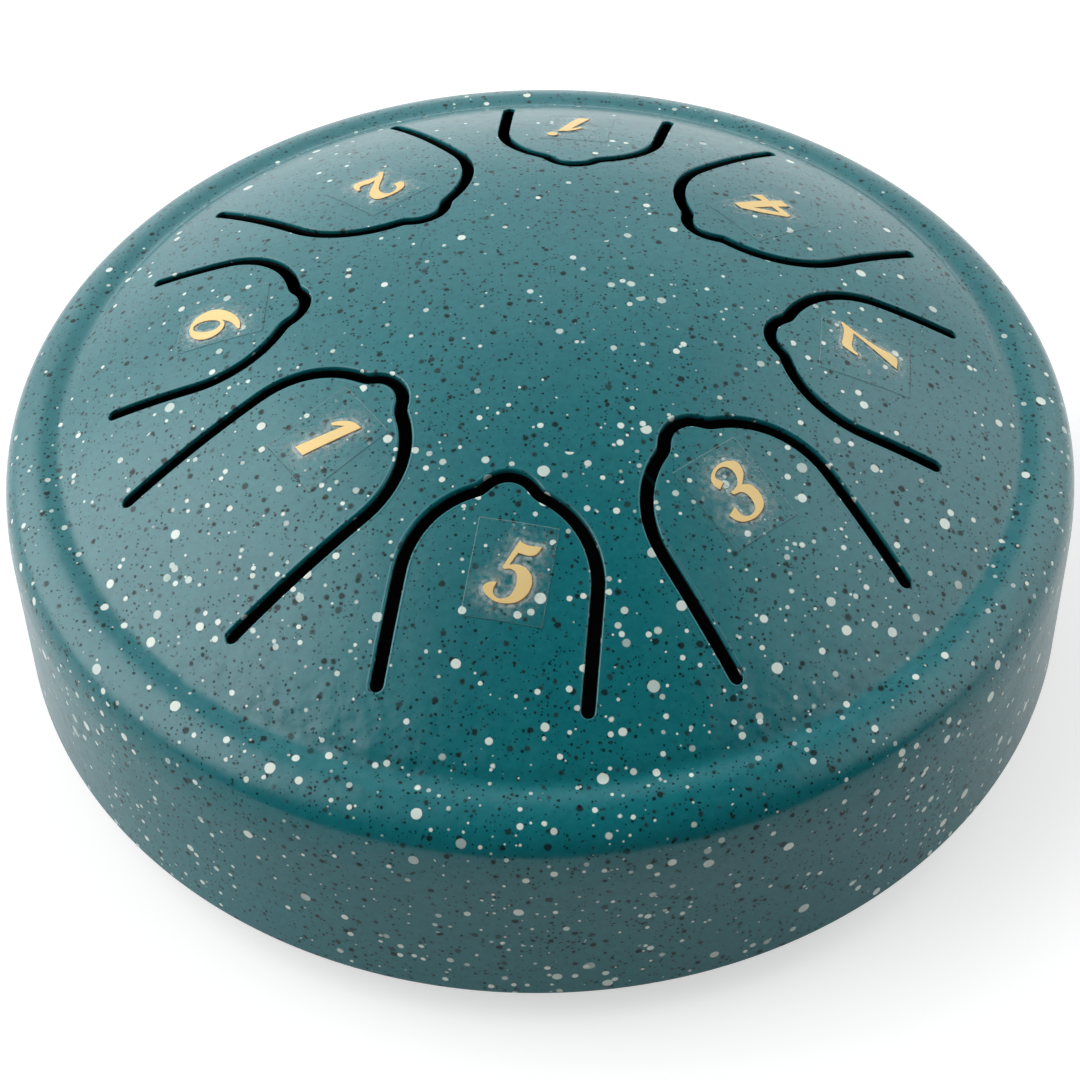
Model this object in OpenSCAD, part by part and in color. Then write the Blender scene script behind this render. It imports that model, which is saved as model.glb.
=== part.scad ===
// Small steel tongue drum: a stamped steel shell with eight cut tongues,
// a welded base with a sound hole, number stickers and three rubber feet.
// Z is up, the feet stand at zero height and the drum's axis is the Z axis.

/* [Shell] */
// Diameter over the top of the side wall
shell_d = 150; // [148:0.5:170]
// How much further out the bottom edge stands than the top of the wall
wall_flare = 1.35; // [0.5:0.05:2.5]
// Height of the rounded rim above the bottom edge
rim_h = 33.5; // [32.5:0.5:38]
// Height of the rim and its rounded shoulder over the straight wall
shoulder_h = 8; // [7:0.5:13.5]
// How far the rim's crest lies inside the top of the wall
rim_in = 5.3; // [4.6:0.1:6]
// Radius of the rim's crest
rim_r = 3.5; // [2.8:0.1:3.9]
// Distance from the rim's crest in to the rolled groove
groove_in = 2.9; // [2.4:0.1:3.2]
// Radius of the rolled groove
groove_r = 3; // [2.6:0.1:3.6]
// Height of the top of the dome above the bottom edge
dome_h = 51.2; // [48:0.2:56]
// Thickness of the steel sheet
sheet_t = 1.5; // [1:0.1:1.8]
// Bevel on the outside of the bottom edge
edge_bevel = 0.5; // [0.2:0.1:0.7]

/* [Tongues] */
// Width of the cut slots
slot_w = 1.9; // [1.2:0.1:2.2]
// Spacing of a tongue's two slot legs, as a share of the dome's edge radius
tongue_w_share = 0.3984; // [0.36:0.002:0.41]
// Distance from the axis to the outer slot ends, as a share of that radius
slot_reach_share = 0.8734; // [0.84:0.002:0.88]
// Distance from the axis to the tip of tongue 1, the lowest note, as such a share
tip_1_share = 0.3539; // [0.35:0.002:0.4]
// Distance from the axis to the tip of tongue 2, as such a share
tip_2_share = 0.3693; // [0.36:0.002:0.41]
// Distance from the axis to the tip of tongue 3, as such a share
tip_3_share = 0.4244; // [0.39:0.002:0.46]
// Distance from the axis to the tip of tongue 4, as such a share
tip_4_share = 0.4229; // [0.39:0.002:0.46]
// Distance from the axis to the tip of tongue 5, as such a share
tip_5_share = 0.4566; // [0.42:0.002:0.49]
// Distance from the axis to the tip of tongue 6, as such a share
tip_6_share = 0.4842; // [0.45:0.002:0.5]
// Distance from the axis to the tip of tongue 7, as such a share
tip_7_share = 0.4796; // [0.45:0.002:0.5]
// Distance from the axis to the tip of the high tongue 1, as such a share
tip_high_1_share = 0.5179; // [0.48:0.002:0.53]
// Radius of the small nub at each tongue's tip
nub_r = 3; // [2.4:0.1:3.6]
// How far the nub stands out of the tongue's rounded end
nub_rise = 1.7; // [1.2:0.1:2.2]
// Direction of tongue 5 seen from above, in degrees
first_angle = -98; // [-180:1:180]

/* [Stickers] */
// Width of each clear sticker
film_w = 10.2; // [9.8:0.1:10.8]
// Length of each clear sticker
film_l = 12.5; // [11:0.1:13]
// Thickness of the sticker film
film_t = 0.08; // [0.05:0.01:0.2]
// Height of the numerals
numeral_h = 7.8; // [6:0.1:8.4]
// Thickness of the gold print
gold_t = 0.05; // [0.03:0.01:0.1]

/* [Base] */
// Thickness of the base plate
plate_t = 1.2; // [0.8:0.1:1.6]
// How far the base plate is set up inside the bottom edge
plate_recess = 3; // [2.5:0.1:5]
// Height of the flange turned up round the base plate
flange_h = 8; // [5:0.5:12]
// Diameter of the sound hole in the base
sound_hole_d = 40; // [30:1:60]
// Leg length of the weld bead between wall and base
weld_leg = 2; // [1:0.1:2.4]

/* [Feet] */
// Gap between the bottom edge of the shell and the table
edge_clear = 5; // [4.5:0.1:8]
// Distance from the side wall in to the middle of a foot
foot_inset = 23; // [15:0.5:30]
// Diameter of a rubber foot at its top
foot_top_d = 14; // [12:0.5:18]
// Diameter of a rubber foot where it meets the table
foot_bottom_d = 12; // [11:0.5:16]
// Width of the recess for the screw head
head_room_d = 7; // [6.2:0.1:8]
// Depth of the recess for the screw head
head_room_h = 3.5; // [3:0.1:4.5]
// Diameter of the foot screws
screw_d = 3; // [2.5:0.1:3]
// Diameter of the screw heads
head_d = 5.6; // [5:0.1:5.8]
// Height of the screw heads
head_h = 2; // [1.5:0.1:2.4]
// Diameter of the washers
washer_d = 7; // [6.4:0.1:8]
// Thickness of the washers
washer_t = 0.5; // [0.4:0.1:0.8]
// Width of the nuts across their flats
nut_w = 5.5; // [5:0.1:6]
// Thickness of the nuts
nut_t = 2.4; // [1.8:0.1:3]

/* [Hidden] */
$fn = 96;

// Overrun of every cut past the face that it leaves
over = 1;
// How far each arc of the profile bites into the next, so that they cross
bite = 0.04;
// Cut between a tongue's root and the shell, where the steel flexes
root_gap = 0.05;
// Gap under a sticker and between the base and the wall
seat_gap = 0.02;
// Gap between the gold print and its film
print_gap = 0.01;
// Clearance of the holes round the foot screws
hole_gap = 0.2;
// Clearance of the washers and the nuts round their screws
thread_gap = 0.02;
// How far the screws stand out of their nuts
screw_end = 1;
// Width and depth of the cross recess in the screw heads
cross_w = 0.9;
cross_depth = 1.1;
cross_span_share = 0.6;
// How many feet there are and the direction of the first one
feet = 3;
first_foot_angle = 90;

// Order of the tongues round the drum, for notes 1 to 7 and high 1
places = [7, 5, 1, 3, 0, 6, 2, 4];
tip_shares = [
    tip_1_share, tip_2_share, tip_3_share, tip_4_share,
    tip_5_share, tip_6_share, tip_7_share, tip_high_1_share
];
// For each tongue: width of its rounded end as a share of tongue_w, where its
// left and right slots end as shares of slot_reach, how far these ends stand
// to the left and right as shares of half tongue_w, and its shift to the right
// as a share of tongue_w
tongue_shares = [
    [0.99, 0.995, 1.02, 1.11, 1, 0.015],
    [1.09, 1.03, 0.99, 1.345, 1.225, -0.022],
    [1, 1, 1.025, 1.06, 1.03, 0.035],
    [1.045, 1.01, 1.02, 1.07, 1.285, -0.008],
    [0.95, 0.99, 1.003, 0.97, 1.02, 0.024],
    [0.99, 0.99, 0.985, 0.94, 1.13, 0.028],
    [1.01, 0.95, 0.99, 1.02, 1.055, 0.024],
    [0.9, 1.03, 1.06, 1.01, 0.93, -0.03]
];
// For each sticker: its shift to the right as a share of film_w, the distance
// of its middle from the tongue's tip as a share of film_l, and its turn
film_shares = [
    [0.05, 0.904, -1.5],
    [0.01, 1.072, 1.5],
    [0.1, 0.936, 0],
    [-0.1, 1.024, 2.5],
    [0.2, 1, -3.5],
    [0.06, 0.952, 6.5],
    [0.16, 1.048, 0],
    [0, 1.256, 0]
];
// For each numeral: its shift right and up on its sticker, as shares of film_w
numeral_shares = [
    [0.01, 0.01],
    [-0.05, -0.04],
    [0.01, 0],
    [0.14, -0.16],
    [0.01, 0],
    [0.09, -0.07],
    [0.2, -0.05],
    [0.07, -0.1]
];

shell_r = shell_d / 2;
wall_h = rim_h - shoulder_h;
wall_lean = atan2(wall_flare, wall_h);
wall_top = [shell_r, wall_h];
// Crest circle of the rim
crest = [shell_r - rim_in, rim_h - rim_r];
// Shoulder circle: it touches the wall's top and holds the crest circle
to_crest = crest - wall_top;
wall_dir = [cos(wall_lean), sin(wall_lean)];
shoulder_r = (pow(rim_r, 2) - to_crest * to_crest) / 2 / (to_crest * wall_dir + rim_r);
shoulder = wall_top - shoulder_r * wall_dir;
to_rim = crest - shoulder;
// Groove circle: it lies outside the sheet and touches the crest circle
groove = crest + [-groove_in, sqrt(pow(rim_r + groove_r, 2) - pow(groove_in, 2))];
// Dome sphere: it passes through the dome's top and touches the groove circle
dome_drop = dome_h - groove[1];
dome_r = (pow(groove[0], 2) + pow(dome_drop, 2) - pow(groove_r, 2)) / 2 / (groove_r + dome_drop);
dome_z = dome_h - dome_r;
dome_edge = groove[0] * dome_r / (dome_r + groove_r);
tips = dome_edge * tip_shares;
tongue_w = dome_edge * tongue_w_share;
slot_reach = dome_edge * slot_reach_share;
plate_z = edge_clear + plate_recess;
foot_r = shell_r - foot_inset;
screw_hole_r = screw_d / 2 + hole_gap;

// Outer radius of the straight wall at a height above the bottom edge
function wall_r(z) = shell_r + wall_flare * (1 - z / wall_h);
// Inner radius of the wall there
function bore_r(z) = wall_r(z) - sheet_t / cos(wall_lean);
function unit(a) = [cos(a), sin(a)];
function cross2(a, b) = a[0] * b[1] - a[1] * b[0];
// Point where two lines meet, each given by a normal and its distance
function meet(n, c, m, d) = [c * m[1] - d * n[1], d * n[0] - c * m[0]] / cross2(n, m);

// Region under the shell's outer face, drawn in by an inset
module pan_region(inset) {
    low = inset == 0 ? 0 : -over;
    side = inset / cos(wall_lean);
    to_dome = (crest[1] - dome_z) / (groove[1] - dome_z);
    reach = 2 * shoulder_r;
    difference() {
        union() {
            polygon([
                [0, low],
                [wall_r(low) - side, low],
                [wall_r(wall_h) - side, wall_h],
                crest,
                groove,
                [groove[0] * to_dome, crest[1]],
                [0, crest[1]]
            ]);
            intersection() {
                translate([0, dome_z]) circle(r = dome_r - inset);
                translate([0, shoulder[1]]) square([groove[0], dome_h]);
            }
            translate(crest) circle(r = rim_r - inset + bite);
            intersection() {
                translate(shoulder) circle(r = shoulder_r - inset + bite);
                polygon([
                    shoulder,
                    [wall_r(shoulder[1]) - side, shoulder[1]],
                    [wall_r(rim_h) - side, rim_h],
                    shoulder + reach * to_rim / norm(to_rim)
                ]);
            }
        }
        translate(groove) circle(r = groove_r + inset + bite);
    }
}

// The shell before its tongues are cut
module pan() {
    translate([0, 0, edge_clear]) rotate_extrude() difference() {
        pan_region(0);
        pan_region(sheet_t);
        polygon([[wall_r(0) - edge_bevel, 0], [wall_r(0) + over, -over], [wall_r(0), edge_bevel]]);
    }
}

// A layer of the dome between two heights over its outer face
module dome_layer(low, high) {
    translate([0, 0, edge_clear + dome_z]) difference() {
        sphere(r = dome_r + high);
        sphere(r = dome_r + low);
    }
}

// Outline of a tongue, grown by an amount and cut off at its root line.
// X runs outwards along the tongue and Y to its right.
module tongue_outline(i, grow, root_shift) {
    share = tongue_shares[i];
    arch_r = tongue_w / 2 * share[0];
    arch = [tips[i] + nub_rise + arch_r, tongue_w * share[5]];
    ends = [
        [slot_reach * share[1], -tongue_w / 2 * share[3]],
        [slot_reach * share[2], tongue_w / 2 * share[4]]
    ];
    root = ends[1] - ends[0];
    root_n = [root[1], -root[0]] / norm(root);
    root_c = root_n * ends[0] + root_shift;
    legs = [for (k = [0, 1]) let (
        e = ends[k] - arch,
        side = 2 * k - 1,
        n = unit(atan2(e[1], e[0]) + side * acos(arch_r / norm(e)))
    ) [arch + (arch_r + grow) * n, meet(n, n * arch + arch_r + grow, root_n, root_c)]];
    translate(arch) circle(r = arch_r + grow + bite);
    polygon([arch, legs[0][0], legs[0][1], legs[1][1], legs[1][0]]);
    translate([tips[i] + slot_w / 2 + nub_r, arch[1]]) circle(r = nub_r + slot_w / 2 + grow);
}

// Outline of the opening that a tongue and its slot leave in the shell
module tongue_opening(i) {
    share = tongue_shares[i];
    tongue_outline(i, slot_w / 2, root_gap / 2);
    translate([slot_reach * share[1], -tongue_w / 2 * share[3]]) circle(d = slot_w);
    translate([slot_reach * share[2], tongue_w / 2 * share[4]]) circle(d = slot_w);
}

// Puts a tongue's own directions round the drum
module at_tongue(i) {
    rotate(first_angle + places[i] * 360 / len(places)) children();
}

module top_shell() {
    color("cadetblue") difference() {
        pan();
        for (i = [0 : len(places) - 1]) {
            at_tongue(i) translate([0, 0, edge_clear + crest[1]])
                linear_extrude(dome_h) tongue_opening(i);
        }
    }
}

module tongue(i) {
    color("teal") intersection() {
        dome_layer(-sheet_t, 0);
        at_tongue(i) translate([0, 0, edge_clear + crest[1]])
            linear_extrude(dome_h) tongue_outline(i, -slot_w / 2, -root_gap / 2);
    }
}

// Puts a sticker's own directions on its tongue: X right and Y up
module on_film(i) {
    share = film_shares[i];
    at_tongue(i) translate([tips[i] + film_l * share[1], film_w * share[0], edge_clear + crest[1]])
        rotate(90 + share[2]) children();
}

module film(i) {
    color("lightcyan", 0.4) intersection() {
        dome_layer(seat_gap, seat_gap + film_t);
        on_film(i) linear_extrude(dome_h) square([film_w, film_l], center = true);
    }
}

// Share of an outline's side that each cut of a corner takes off
corner_share = 0.25;
// How many times the corners of an outline are cut
softenings = 2;
// Point on the way from a corner to its neighbour
function toward(q, p) = [for (k = [0, 1]) q[k] + (p[k] - q[k]) * corner_share];
// Rounds an outline by cutting its corners, apart from points marked 1
function soften(p, times) = times == 0 ? [for (q = p) [q[0], q[1]]] : soften(
    [for (k = [0 : len(p) - 1])
        let (a = p[(k + len(p) - 1) % len(p)], q = p[k], b = p[(k + 1) % len(p)])
        each q[2] == 1 ? [q] : [concat(toward(q, a), 0), concat(toward(q, b), 0)]
    ], times - 1);

// Outlines of the numerals as shares of their height, from the middle. A third
// value of 1 marks a sharp corner.
one_shares = [
    [0.256, 0.487, 1], [-0.032, -0.494, 1], [-0.263, -0.494, 1], [0.019, 0.314, 1],
    [-0.154, 0.167, 1], [-0.199, 0.192, 1], [-0.141, 0.288, 0], [-0.026, 0.41, 0], [0.115, 0.481, 0]
];
two_shares = [
    [-0.22, 0.2, 1], [-0.36, 0.2, 1], [-0.38, 0.34, 0], [-0.22, 0.5, 0], [0.08, 0.52, 0],
    [0.34, 0.44, 0], [0.34, 0.2, 0], [0.2, 0.02, 0], [-0.02, -0.16, 0], [-0.12, -0.27, 1],
    [0.02, -0.24, 0], [0.14, -0.32, 0], [0.24, -0.28, 0], [0.28, -0.18, 1], [0.33, -0.2, 1],
    [0.3, -0.4, 0], [0.18, -0.51, 0], [0.02, -0.47, 0], [-0.14, -0.38, 0], [-0.28, -0.38, 0],
    [-0.37, -0.49, 1], [-0.44, -0.44, 1], [-0.3, -0.26, 0], [-0.04, -0.02, 0], [0.1, 0.16, 0],
    [0.12, 0.36, 0], [0.02, 0.45, 0], [-0.1, 0.43, 0], [-0.2, 0.33, 0]
];
three_shares = [
    [-0.205, 0.16, 1], [-0.256, 0.269, 0], [-0.205, 0.41, 0], [-0.013, 0.519, 0], [0.192, 0.526, 0],
    [0.385, 0.423, 0], [0.359, 0.205, 0], [0.167, 0.045, 1], [0.295, 0, 0], [0.346, -0.192, 0],
    [0.282, -0.397, 0], [0.064, -0.513, 0], [-0.192, -0.5, 0], [-0.333, -0.397, 0],
    [-0.372, -0.269, 1], [-0.192, -0.199, 1], [-0.199, -0.372, 0], [-0.077, -0.449, 0],
    [0.103, -0.397, 0], [0.154, -0.192, 0], [0.09, -0.038, 0], [-0.059, -0.026, 1],
    [-0.09, 0.032, 1], [0.103, 0.064, 0], [0.218, 0.244, 0], [0.167, 0.436, 0], [0, 0.474, 0],
    [-0.154, 0.372, 0], [-0.068, 0.231, 1]
];
four_shares = [
    [0.13, 0.5, 1], [0.32, 0.5, 1], [0.2, -0.12, 1], [0.33, -0.1, 0], [0.42, -0.06, 1],
    [0.38, -0.27, 1], [0.15, -0.26, 1], [0.09, -0.5, 1], [-0.13, -0.5, 1], [-0.07, -0.26, 1],
    [-0.4, -0.26, 1], [-0.42, -0.16, 1], [-0.15, 0.22, 0]
];
four_hole_shares = [[0.06, 0.26, 1], [-0.03, -0.13, 1], [-0.25, -0.13, 1]];
five_shares = [
    [0.051, 0.506, 1], [0.083, 0.462, 0], [0.218, 0.429, 0], [0.41, 0.449, 1], [0.359, 0.314, 0],
    [0.244, 0.263, 0], [0.058, 0.295, 1], [-0.045, 0.083, 1], [0.154, 0.122, 0],
    [0.359, -0.032, 0], [0.359, -0.288, 0], [0.192, -0.494, 0], [-0.115, -0.545, 0],
    [-0.333, -0.442, 0], [-0.41, -0.314, 0], [-0.308, -0.224, 0], [-0.192, -0.212, 1],
    [-0.244, -0.378, 0], [-0.128, -0.481, 0], [0.051, -0.429, 0], [0.128, -0.224, 0],
    [0.103, -0.032, 0], [-0.013, 0.032, 0], [-0.109, 0, 1], [-0.147, 0.026, 1]
];
six_shares = [
    [0.32, 0.46, 1], [0.1, 0.44, 0], [-0.2, 0.22, 0], [-0.4, -0.08, 0], [-0.36, -0.36, 0],
    [-0.16, -0.51, 0], [0.1, -0.51, 0], [0.32, -0.36, 0], [0.4, -0.1, 0], [0.28, 0.12, 0],
    [0.08, 0.17, 0], [-0.04, 0.08, 1], [0.1, 0.28, 0], [0.34, 0.43, 1]
];
six_hole_shares = [
    [0.09, 0.09, 0], [0.21, -0.02, 0], [0.17, -0.24, 0], [0.06, -0.43, 0], [-0.08, -0.45, 0],
    [-0.14, -0.32, 0], [-0.12, -0.14, 0], [-0.02, 0.05, 0]
];
seven_shares = [
    [-0.365, 0.212, 1], [-0.288, 0.391, 0], [-0.212, 0.506, 0], [0.019, 0.468, 0],
    [0.224, 0.468, 0], [0.353, 0.519, 1], [0.378, 0.494, 1], [0.199, 0.224, 0],
    [0.045, -0.109, 0], [-0.032, -0.455, 0], [-0.135, -0.506, 0], [-0.34, -0.481, 1],
    [-0.16, -0.212, 0], [0.135, 0.224, 0], [0.173, 0.301, 1], [0.045, 0.301, 0],
    [-0.109, 0.327, 0], [-0.237, 0.301, 0], [-0.314, 0.199, 1]
];
// Outline and counter of each tongue's numeral
outlines = [
    one_shares, two_shares, three_shares, four_shares,
    five_shares, six_shares, seven_shares, one_shares
];
counters = [[], [], [], four_hole_shares, [], six_hole_shares, [], []];
// Middle of the octave dot over a high numeral and its radius, as shares of
// the numeral's height, and how many dots each tongue's numeral has
dot_shares = [0.33, 0.68];
dot_r_share = 0.1;
dots = [0, 0, 0, 0, 0, 0, 0, 1];

module numeral(i) {
    low = seat_gap + film_t + print_gap;
    color("gold") intersection() {
        dome_layer(low, low + gold_t);
        on_film(i) translate(film_w * numeral_shares[i]) linear_extrude(dome_h) difference() {
            union() {
                polygon(numeral_h * soften(outlines[i], softenings));
                if (dots[i] > 0) {
                    translate(numeral_h * dot_shares) circle(r = numeral_h * dot_r_share);
                }
            }
            if (len(counters[i]) > 0) {
                polygon(numeral_h * soften(counters[i], softenings));
            }
        }
    }
}

// Base plate with its flange turned up along the wall
module base_plate() {
    low = plate_recess;
    top = plate_recess + flange_h;
    flange_t = plate_t / cos(wall_lean);
    color("cadetblue") translate([0, 0, edge_clear]) difference() {
        rotate_extrude() polygon([
            [sound_hole_d / 2, low],
            [bore_r(low) - seat_gap, low],
            [bore_r(top) - seat_gap, top],
            [bore_r(top) - seat_gap - flange_t, top],
            [bore_r(low + plate_t) - seat_gap - flange_t, low + plate_t],
            [sound_hole_d / 2, low + plate_t]
        ]);
        at_feet() translate([0, 0, low - over]) cylinder(r = screw_hole_r, h = plate_t + 2 * over);
    }
}

// Weld bead in the corner between the wall and the underside of the base
module seam_weld() {
    top = plate_recess - seat_gap;
    color("cadetblue") translate([0, 0, edge_clear]) rotate_extrude() polygon([
        [bore_r(top) - seat_gap - weld_leg, top],
        [bore_r(top) - seat_gap, top],
        [bore_r(top - weld_leg) - seat_gap, top - weld_leg]
    ]);
}

// Places something at each foot, or at one of them
module at_feet(which = [0 : feet - 1]) {
    for (k = which) rotate(first_foot_angle + k * 360 / feet) translate([foot_r, 0, 0]) children();
}

module foot(k) {
    color("dimgray") at_feet([k]) rotate_extrude() polygon([
        [head_room_d / 2, 0],
        [foot_bottom_d / 2, 0],
        [foot_top_d / 2, plate_z],
        [screw_hole_r, plate_z],
        [screw_hole_r, head_room_h],
        [head_room_d / 2, head_room_h]
    ]);
}

module foot_screws() {
    shank = plate_z - head_room_h + plate_t + washer_t + nut_t + screw_end;
    color("silver") at_feet() difference() {
        union() {
            translate([0, 0, head_room_h - head_h]) cylinder(d = head_d, h = head_h);
            translate([0, 0, head_room_h - bite]) cylinder(d = screw_d, h = shank + bite);
        }
        for (turn = [0, 90]) rotate(turn) translate([0, 0, head_room_h - head_h - over])
            linear_extrude(cross_depth + over) square([head_d * cross_span_share, cross_w], center = true);
    }
}

module foot_washers() {
    color("silver") at_feet() translate([0, 0, plate_z + plate_t]) difference() {
        cylinder(d = washer_d, h = washer_t);
        translate([0, 0, -over]) cylinder(d = screw_d + 2 * thread_gap, h = washer_t + 2 * over);
    }
}

module foot_nuts() {
    color("silver") at_feet() translate([0, 0, plate_z + plate_t + washer_t]) difference() {
        cylinder(d = nut_w / cos(30), h = nut_t, $fn = 6);
        translate([0, 0, -over]) cylinder(d = screw_d + 2 * thread_gap, h = nut_t + 2 * over);
    }
}

top_shell();
base_plate();
seam_weld();
tongue(0);  // tongue_1
tongue(1);  // tongue_2
tongue(2);  // tongue_3
tongue(3);  // tongue_4
tongue(4);  // tongue_5
tongue(5);  // tongue_6
tongue(6);  // tongue_7
tongue(7);  // tongue_high_1
film(0);  // film_1
film(1);  // film_2
film(2);  // film_3
film(3);  // film_4
film(4);  // film_5
film(5);  // film_6
film(6);  // film_7
film(7);  // film_high_1
numeral(0);  // numeral_1
numeral(1);  // numeral_2
numeral(2);  // numeral_3
numeral(3);  // numeral_4
numeral(4);  // numeral_5
numeral(5);  // numeral_6
numeral(6);  // numeral_7
numeral(7);  // numeral_high_1
foot(0);  // foot_back
foot(1);  // foot_left
foot(2);  // foot_right
foot_screws();
foot_washers();
foot_nuts();
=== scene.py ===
import math
from functools import partial
import bpy
import numpy as np
from mathutils import Matrix, Vector
from mathutils.geometry import delaunay_2d_cdt


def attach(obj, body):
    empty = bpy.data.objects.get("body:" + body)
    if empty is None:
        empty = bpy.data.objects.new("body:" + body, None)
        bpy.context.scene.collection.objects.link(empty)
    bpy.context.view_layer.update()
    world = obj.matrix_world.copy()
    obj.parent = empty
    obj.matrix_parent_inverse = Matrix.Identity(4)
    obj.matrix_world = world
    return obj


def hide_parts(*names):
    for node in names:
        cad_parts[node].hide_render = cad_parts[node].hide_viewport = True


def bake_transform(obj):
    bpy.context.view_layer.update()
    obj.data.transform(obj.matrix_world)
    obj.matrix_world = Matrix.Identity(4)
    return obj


# Steel tongue drum with its shell, tongues, stickers, numerals and underside.
# Shapes are worked out in millimetres and every mesh is written in metres.

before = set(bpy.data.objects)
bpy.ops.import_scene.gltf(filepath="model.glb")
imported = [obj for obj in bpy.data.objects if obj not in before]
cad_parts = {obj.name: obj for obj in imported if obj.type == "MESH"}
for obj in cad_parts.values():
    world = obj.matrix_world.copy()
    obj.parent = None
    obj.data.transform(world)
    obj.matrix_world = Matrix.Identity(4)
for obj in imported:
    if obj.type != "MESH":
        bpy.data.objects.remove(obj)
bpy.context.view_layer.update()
mm = 0.001


# Small helpers

def linear(code):
    # sRGB hex to the linear colour that the shaders work in
    parts = np.array([int(code[i:i + 2], 16) for i in (1, 3, 5)]) / 255
    parts = np.where(parts <= 0.04045, parts / 12.92, ((parts + 0.055) / 1.055) ** 2.4)
    return (*parts.tolist(), 1.0)


def unit(v):
    # vectors brought to a length of one
    return v / np.linalg.norm(v, axis=-1, keepdims=True)


def spin(points, degrees):
    # turns plan points about the origin
    a = math.radians(degrees)
    return points @ np.array([[math.cos(a), math.sin(a)], [-math.sin(a), math.cos(a)]])


def addMesh(name, points, faces, materials, indices=None, normals=None):
    # a smooth mesh from points in millimetres, with these normals where given
    mesh = bpy.data.meshes.new(name)
    mesh.from_pydata((np.asarray(points) * mm).tolist(), [], [list(f) for f in faces])
    for material in materials:
        mesh.materials.append(material)
    if indices is not None:
        mesh.polygons.foreach_set("material_index", np.asarray(indices, dtype=np.int32))
    mesh.polygons.foreach_set("use_smooth", np.ones(len(faces), dtype=bool))
    mesh.update()
    if normals is not None:
        mesh.normals_split_custom_set_from_vertices(unit(np.asarray(normals)).tolist())
    piece = bpy.data.objects.new(name, mesh)
    bpy.context.scene.collection.objects.link(piece)
    return piece


def coatNode(name, *coats):
    # a CAD node keeps its shape and gets these materials, the first on all faces
    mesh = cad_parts[name].data
    mesh.materials.clear()
    for coat in coats:
        mesh.materials.append(coat)
    mesh.polygons.foreach_set("material_index", np.zeros(len(mesh.polygons), dtype=np.int32))
    return mesh


def inside(points, loop):
    # counts how often a ray to the right of each point crosses the loop
    x, y = points[:, 0:1], points[:, 1:2]
    a, b = loop, np.roll(loop, -1, axis=0)
    spans = (a[:, 1] > y) != (b[:, 1] > y)
    rise = np.where(b[:, 1] == a[:, 1], 1e-12, b[:, 1] - a[:, 1])
    crossing = (b[:, 0] - a[:, 0]) * (y - a[:, 1]) / rise + a[:, 0]
    return (spans & (x < crossing)).sum(axis=1) % 2 == 1


def nearestGap(points, others):
    # distance from each point to the closest of the others, worked out for
    # some hundred points at a time
    parts = np.array_split(points, max(1, len(points) // 500))
    return np.concatenate([np.linalg.norm(part[:, None] - others, axis=2).min(axis=1) for part in parts])


def fillPlan(loops, lines, spacing):
    # triangles over the plan: loops and lines stay as edges, and points on a
    # hexagonal grid fill what lies between them, none too close to an edge
    fixed = np.concatenate(loops + [points for points, ends in lines])
    edges, start = [], 0
    for loop in loops:
        ring = np.arange(len(loop)) + start
        edges += np.stack([ring, np.roll(ring, -1)], axis=1).tolist()
        start += len(loop)
    for points, ends in lines:
        chain = np.concatenate([[ends[0]], np.arange(len(points)) + start, [ends[1]]])
        edges += np.stack([chain[:-1], chain[1:]], axis=1).tolist()
        start += len(points)
    low, high = fixed.min(axis=0), fixed.max(axis=0)
    rows = np.arange(low[1], high[1], spacing * math.sqrt(3) / 2)
    columns = np.arange(low[0], high[0], spacing)
    x, y = np.meshgrid(columns, rows)
    x = x + (np.arange(len(rows)) % 2)[:, None] * spacing / 2
    grid = np.stack([x.ravel(), y.ravel()], axis=1)
    grid = grid[nearestGap(grid, fixed) > spacing * 0.45]
    points = np.concatenate([fixed, grid])
    found = delaunay_2d_cdt([Vector(p) for p in points.tolist()], edges, [], 0, 1e-7)
    return np.array([list(p) for p in found[0]]), np.array(found[2])


def addNode(tree, kind, inputs=None, output=0, **settings):
    # adds a shader node, sets or links its inputs, and gives one output
    node = tree.nodes.new("ShaderNode" + kind)
    for key, value in settings.items():
        setattr(node, key, value)
    for socket, value in (inputs or {}).items():
        if isinstance(value, bpy.types.NodeSocket):
            tree.links.new(value, node.inputs[socket])
        else:
            node.inputs[socket].default_value = value
    return node.outputs[output] if node.outputs else None


def newMaterial(name):
    # an empty material, and addNode for its own tree
    material = bpy.data.materials.new(name)
    material.use_nodes = True
    material.node_tree.nodes.clear()
    return material, partial(addNode, material.node_tree)


# where a Mix node has its two colours and the mixed one
colorA, colorB, mixed = 6, 7, 2


def millimetres(add):
    # object coordinates in millimetres, so a noise scale is features per mm
    place = add("TexCoord", output="Object")
    return add("VectorMath", {0: place, "Scale": 1 / mm}, operation="SCALE")


# Camera, floor and light

view = {
    "place": (0.0, -0.213409, 0.246913),
    "right": (0.99976333, -0.01584713, -0.01490484),
    "up": (0.02174694, 0.74678592, 0.66470886),
    "lens": 71.1645,
    "sensor": 36.0,
}


def makeCamera():
    data = bpy.data.cameras.new("camera")
    data.lens = view["lens"]
    data.sensor_width = view["sensor"]
    data.clip_start = 0.01
    camera = bpy.data.objects.new("camera", data)
    right, up = Vector(view["right"]).normalized(), Vector(view["up"]).normalized()
    back = right.cross(up).normalized()
    up = back.cross(right)
    turn = Matrix((right, up, back)).transposed().to_4x4()
    camera.matrix_world = Matrix.Translation(view["place"]) @ turn
    bpy.context.scene.collection.objects.link(camera)
    bpy.context.scene.camera = camera


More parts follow.
